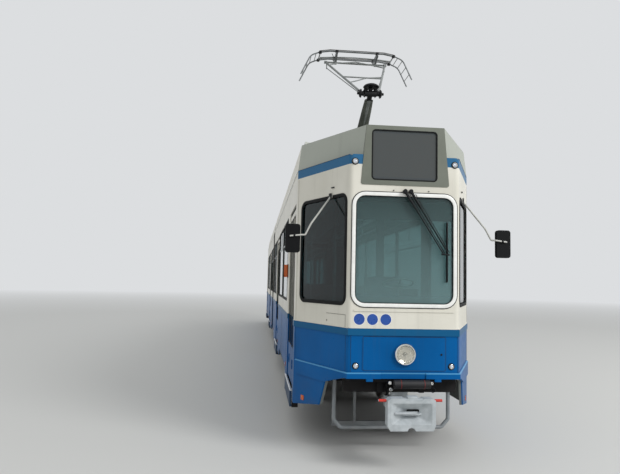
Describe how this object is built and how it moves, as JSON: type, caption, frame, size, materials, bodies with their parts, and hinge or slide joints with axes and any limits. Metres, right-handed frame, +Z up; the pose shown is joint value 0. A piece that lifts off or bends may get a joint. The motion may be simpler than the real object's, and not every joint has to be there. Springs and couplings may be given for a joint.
{
  "type": "articulated tram",
  "caption": "Single-ended articulated tram: two hollow car bodies on three bogies, hinged at a bellows, with folding doors, folding steps and a raised single-arm pantograph.",
  "frame": {"origin": "under the articulation pivot, level with the wheel flanges' lowest points", "axes": "+Z up, -Y towards the driver's end, -X the door side"},
  "size_m": [2.568, 21.4, 5.812],
  "materials": {
    "bellows_rubber": "folded",
    "body_paint": "satin enamel",
    "bogie_paint": "dusty",
    "box_grey": "satin",
    "coupler_cast": "cast, painted",
    "door_paint": "satin enamel",
    "glass": "tinted",
    "guard_paint": "satin",
    "interior": "matte",
    "lamp": "polished",
    "mirror_case": "matte",
    "panto_paint": "weathered",
    "rail": "powder coat",
    "roof_paint": "weathered enamel",
    "seat": "moulded",
    "step_alu": "ribbed",
    "underframe_paint": "matte",
    "wheel_steel": "worn"
  },
  "bodies": {
    "car_a": {"underframe_a": "underframe_paint", "door_wall_a": "body_paint", "closed_wall_a": "body_paint", "roof_a": "roof_paint", "cab_shell": "body_paint", "glass_a": "glass", "destination_box": "box_grey", "front_lamps": "lamp", "front_coupler": "coupler_cast", "under_run_guard": "guard_paint", "mirrors": "mirror_case", "cab_interior": "interior", "seats_a": "seat", "handrails_a": "rail", "roof_gear": "roof_paint", "bellows": "bellows_rubber", "pantograph_base": "panto_paint"},
    "car_b": {"underframe_b": "underframe_paint", "door_wall_b": "body_paint", "closed_wall_b": "body_paint", "roof_b": "roof_paint", "rear_shell": "body_paint", "glass_b": "glass", "rear_destination_box": "box_grey", "rear_lamps": "lamp", "rear_coupler": "coupler_cast", "seats_b": "seat", "handrails_b": "rail"},
    "bogie_front": {"bogie_frame_front": "bogie_paint"},
    "wheelset_front_front": {"wheelset_front_front": "wheel_steel"},
    "wheelset_front_rear": {"wheelset_front_rear": "wheel_steel"},
    "bogie_middle": {"bogie_frame_middle": "bogie_paint"},
    "wheelset_middle_front": {"wheelset_middle_front": "wheel_steel"},
    "wheelset_middle_rear": {"wheelset_middle_rear": "wheel_steel"},
    "bogie_rear": {"bogie_frame_rear": "bogie_paint"},
    "wheelset_rear_front": {"wheelset_rear_front": "wheel_steel"},
    "wheelset_rear_rear": {"wheelset_rear_rear": "wheel_steel"},
    "door_1_front_a": {"door_1_front_a": "door_paint"},
    "door_1_front_b": {"door_1_front_b": "door_paint"},
    "door_1_rear_a": {"door_1_rear_a": "door_paint"},
    "door_1_rear_b": {"door_1_rear_b": "door_paint"},
    "step_1": {"step_1": "step_alu"},
    "door_2_front_a": {"door_2_front_a": "door_paint"},
    "door_2_front_b": {"door_2_front_b": "door_paint"},
    "door_2_rear_a": {"door_2_rear_a": "door_paint"},
    "door_2_rear_b": {"door_2_rear_b": "door_paint"},
    "step_2": {"step_2": "step_alu"},
    "door_3_front_a": {"door_3_front_a": "door_paint"},
    "door_3_front_b": {"door_3_front_b": "door_paint"},
    "door_3_rear_a": {"door_3_rear_a": "door_paint"},
    "door_3_rear_b": {"door_3_rear_b": "door_paint"},
    "step_3": {"step_3": "step_alu"},
    "door_4_front_a": {"door_4_front_a": "door_paint"},
    "door_4_front_b": {"door_4_front_b": "door_paint"},
    "door_4_rear_a": {"door_4_rear_a": "door_paint"},
    "door_4_rear_b": {"door_4_rear_b": "door_paint"},
    "step_4": {"step_4": "step_alu"},
    "pantograph_lower": {"pantograph_lower_arm": "panto_paint"},
    "pantograph_upper": {"pantograph_upper_arm": "panto_paint"},
    "pantograph_head": {"pantograph_head": "panto_paint"}
  },
  "joints": [
    {"name": "articulation", "type": "hinge", "parent": "car_a", "child": "car_b", "pos_m": [0, 0, 0.765], "axis": [0, 0, 1], "range_deg": [-25, 25], "deforming": ["bellows"]},
    {"name": "bogie_front_yaw", "type": "hinge", "parent": "car_a", "child": "bogie_front", "pos_m": [0, -6.1, 0.715], "axis": [0, 0, 1], "range_deg": [-12, 12]},
    {"name": "wheelset_front_front_spin", "type": "hinge", "parent": "bogie_front", "child": "wheelset_front_front", "pos_m": [0, -7, 0.355], "axis": [1, 0, 0], "continuous": true},
    {"name": "wheelset_front_rear_spin", "type": "hinge", "parent": "bogie_front", "child": "wheelset_front_rear", "pos_m": [0, -5.2, 0.355], "axis": [1, 0, 0], "continuous": true},
    {"name": "bogie_middle_yaw", "type": "hinge", "parent": "car_a", "child": "bogie_middle", "pos_m": [0, 0, 0.715], "axis": [0, 0, 1], "range_deg": [-12.5, 12.5]},
    {"name": "wheelset_middle_front_spin", "type": "hinge", "parent": "bogie_middle", "child": "wheelset_middle_front", "pos_m": [0, -0.9, 0.355], "axis": [1, 0, 0], "continuous": true},
    {"name": "wheelset_middle_rear_spin", "type": "hinge", "parent": "bogie_middle", "child": "wheelset_middle_rear", "pos_m": [0, 0.9, 0.355], "axis": [1, 0, 0], "continuous": true},
    {"name": "bogie_rear_yaw", "type": "hinge", "parent": "car_b", "child": "bogie_rear", "pos_m": [0, 6.1, 0.715], "axis": [0, 0, 1], "range_deg": [-12, 12]},
    {"name": "wheelset_rear_front_spin", "type": "hinge", "parent": "bogie_rear", "child": "wheelset_rear_front", "pos_m": [0, 5.2, 0.355], "axis": [1, 0, 0], "continuous": true},
    {"name": "wheelset_rear_rear_spin", "type": "hinge", "parent": "bogie_rear", "child": "wheelset_rear_rear", "pos_m": [0, 7, 0.355], "axis": [1, 0, 0], "continuous": true},
    {"name": "door_1_front_a_fold", "type": "hinge", "parent": "car_a", "child": "door_1_front_a", "pos_m": [-1.048, -9.088, 1.725], "axis": [0, 0, -1], "range_deg": [0, 85]},
    {"name": "door_1_front_b_fold", "type": "hinge", "parent": "door_1_front_a", "child": "door_1_front_b", "pos_m": [-1.091, -8.7915, 1.725], "axis": [0, 0, 1], "range_deg": [0, 170]},
    {"name": "door_1_rear_a_fold", "type": "hinge", "parent": "car_a", "child": "door_1_rear_a", "pos_m": [-1.048, -7.852, 1.725], "axis": [0, 0, 1], "range_deg": [0, 85]},
    {"name": "door_1_rear_b_fold", "type": "hinge", "parent": "door_1_rear_a", "child": "door_1_rear_b", "pos_m": [-1.091, -8.1485, 1.725], "axis": [0, 0, -1], "range_deg": [0, 170]},
    {"name": "step_1_fold", "type": "hinge", "parent": "car_a", "child": "step_1", "pos_m": [-1.085, -8.47, 0.33], "axis": [0, -1, 0], "range_deg": [0, 90]},
    {"name": "door_2_front_a_fold", "type": "hinge", "parent": "car_a", "child": "door_2_front_a", "pos_m": [-1.048, -4.0132, 1.725], "axis": [0, 0, -1], "range_deg": [0, 85]},
    {"name": "door_2_front_b_fold", "type": "hinge", "parent": "door_2_front_a", "child": "door_2_front_b", "pos_m": [-1.091, -3.7167, 1.725], "axis": [0, 0, 1], "range_deg": [0, 170]},
    {"name": "door_2_rear_a_fold", "type": "hinge", "parent": "car_a", "child": "door_2_rear_a", "pos_m": [-1.048, -2.7772, 1.725], "axis": [0, 0, 1], "range_deg": [0, 85]},
    {"name": "door_2_rear_b_fold", "type": "hinge", "parent": "door_2_rear_a", "child": "door_2_rear_b", "pos_m": [-1.091, -3.0737, 1.725], "axis": [0, 0, -1], "range_deg": [0, 170]},
    {"name": "step_2_fold", "type": "hinge", "parent": "car_a", "child": "step_2", "pos_m": [-1.085, -3.3952, 0.33], "axis": [0, -1, 0], "range_deg": [0, 90]},
    {"name": "door_3_front_a_fold", "type": "hinge", "parent": "car_b", "child": "door_3_front_a", "pos_m": [-1.048, 4.0132, 1.725], "axis": [0, 0, 1], "range_deg": [0, 85]},
    {"name": "door_3_front_b_fold", "type": "hinge", "parent": "door_3_front_a", "child": "door_3_front_b", "pos_m": [-1.091, 3.7167, 1.725], "axis": [0, 0, -1], "range_deg": [0, 170]},
    {"name": "door_3_rear_a_fold", "type": "hinge", "parent": "car_b", "child": "door_3_rear_a", "pos_m": [-1.048, 2.7772, 1.725], "axis": [0, 0, -1], "range_deg": [0, 85]},
    {"name": "door_3_rear_b_fold", "type": "hinge", "parent": "door_3_rear_a", "child": "door_3_rear_b", "pos_m": [-1.091, 3.0737, 1.725], "axis": [0, 0, 1], "range_deg": [0, 170]},
    {"name": "step_3_fold", "type": "hinge", "parent": "car_b", "child": "step_3", "pos_m": [-1.085, 3.3952, 0.33], "axis": [0, -1, 0], "range_deg": [0, 90]},
    {"name": "door_4_front_a_fold", "type": "hinge", "parent": "car_b", "child": "door_4_front_a", "pos_m": [-1.048, 9.088, 1.725], "axis": [0, 0, 1], "range_deg": [0, 85]},
    {"name": "door_4_front_b_fold", "type": "hinge", "parent": "door_4_front_a", "child": "door_4_front_b", "pos_m": [-1.091, 8.7915, 1.725], "axis": [0, 0, -1], "range_deg": [0, 170]},
    {"name": "door_4_rear_a_fold", "type": "hinge", "parent": "car_b", "child": "door_4_rear_a", "pos_m": [-1.048, 7.852, 1.725], "axis": [0, 0, -1], "range_deg": [0, 85]},
    {"name": "door_4_rear_b_fold", "type": "hinge", "parent": "door_4_rear_a", "child": "door_4_rear_b", "pos_m": [-1.091, 8.1485, 1.725], "axis": [0, 0, 1], "range_deg": [0, 170]},
    {"name": "step_4_fold", "type": "hinge", "parent": "car_b", "child": "step_4", "pos_m": [-1.085, 8.47, 0.33], "axis": [0, -1, 0], "range_deg": [0, 90]},
    {"name": "pantograph_raise", "type": "hinge", "parent": "car_a", "child": "pantograph_lower", "pos_m": [0, -7.07, 3.885], "axis": [-1, 0, 0], "range_deg": [-26, 18]},
    {"name": "pantograph_knee", "type": "hinge", "parent": "pantograph_lower", "child": "pantograph_upper", "pos_m": [0, -8.37, 4.675], "axis": [1, 0, 0], "range_deg": [-52, 36]},
    {"name": "pantograph_head_level", "type": "hinge", "parent": "pantograph_upper", "child": "pantograph_head", "pos_m": [0, -7.02, 5.66], "axis": [-1, 0, 0], "range_deg": [-26, 18]}
  ],
  "couplings": [
    {"joint": "bogie_middle_yaw", "follows": "articulation", "ratio": 0.5},
    {"joint": "door_1_front_b_fold", "follows": "door_1_front_a_fold", "ratio": 2},
    {"joint": "door_1_rear_a_fold", "follows": "door_1_front_a_fold", "ratio": 1},
    {"joint": "door_1_rear_b_fold", "follows": "door_1_front_a_fold", "ratio": 2},
    {"joint": "door_2_front_b_fold", "follows": "door_2_front_a_fold", "ratio": 2},
    {"joint": "door_2_rear_a_fold", "follows": "door_2_front_a_fold", "ratio": 1},
    {"joint": "door_2_rear_b_fold", "follows": "door_2_front_a_fold", "ratio": 2},
    {"joint": "door_3_front_b_fold", "follows": "door_3_front_a_fold", "ratio": 2},
    {"joint": "door_3_rear_a_fold", "follows": "door_3_front_a_fold", "ratio": 1},
    {"joint": "door_3_rear_b_fold", "follows": "door_3_front_a_fold", "ratio": 2},
    {"joint": "door_4_front_b_fold", "follows": "door_4_front_a_fold", "ratio": 2},
    {"joint": "door_4_rear_a_fold", "follows": "door_4_front_a_fold", "ratio": 1},
    {"joint": "door_4_rear_b_fold", "follows": "door_4_front_a_fold", "ratio": 2},
    {"joint": "pantograph_knee", "follows": "pantograph_raise", "ratio": 2},
    {"joint": "pantograph_head_level", "follows": "pantograph_raise", "ratio": 1}
  ]
}
